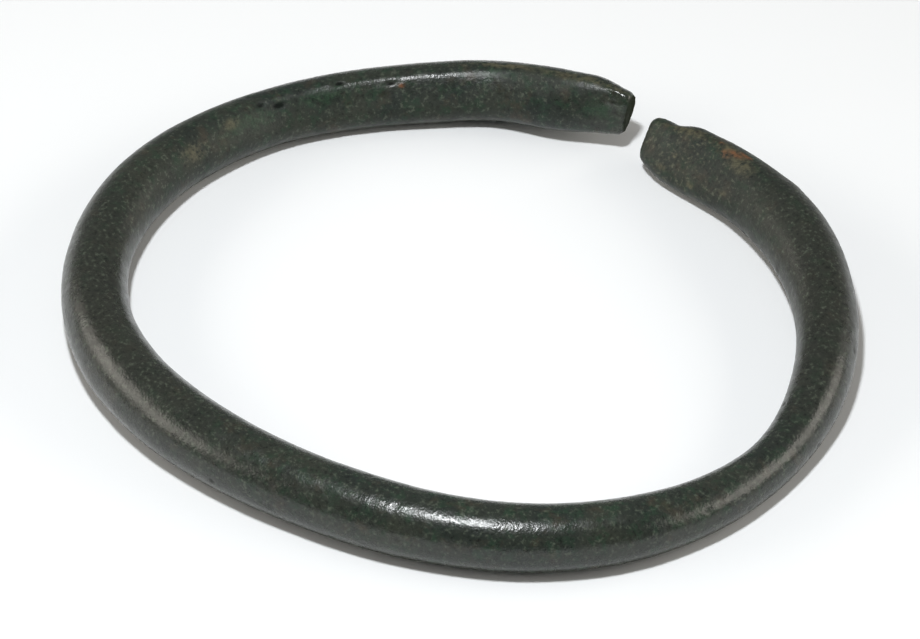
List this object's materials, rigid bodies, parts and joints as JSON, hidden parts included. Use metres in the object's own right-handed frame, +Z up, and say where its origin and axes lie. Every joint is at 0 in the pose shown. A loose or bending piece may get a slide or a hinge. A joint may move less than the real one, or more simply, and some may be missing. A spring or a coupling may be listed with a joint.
{
  "type": "manilla",
  "caption": "Plain open oval ring of cast bronze rod with blunt hammered ends that almost meet, a manilla worn as a bracelet, under a dark green patina.",
  "frame": {"origin": "on the ground, below the middle of the ring's box", "axes": "+X along the ring's long axis, +Y towards the gap, +Z up from the face it lies on"},
  "size_m": [0.072, 0.0638, 0.0066],
  "materials": {
    "patinated_bronze": "solid bronze under a dark green to black patina, slightly glossy, with olive and brown patches"
  },
  "bodies": {
    "root": {"manilla_ring": "patinated_bronze"}
  },
  "joints": []
}
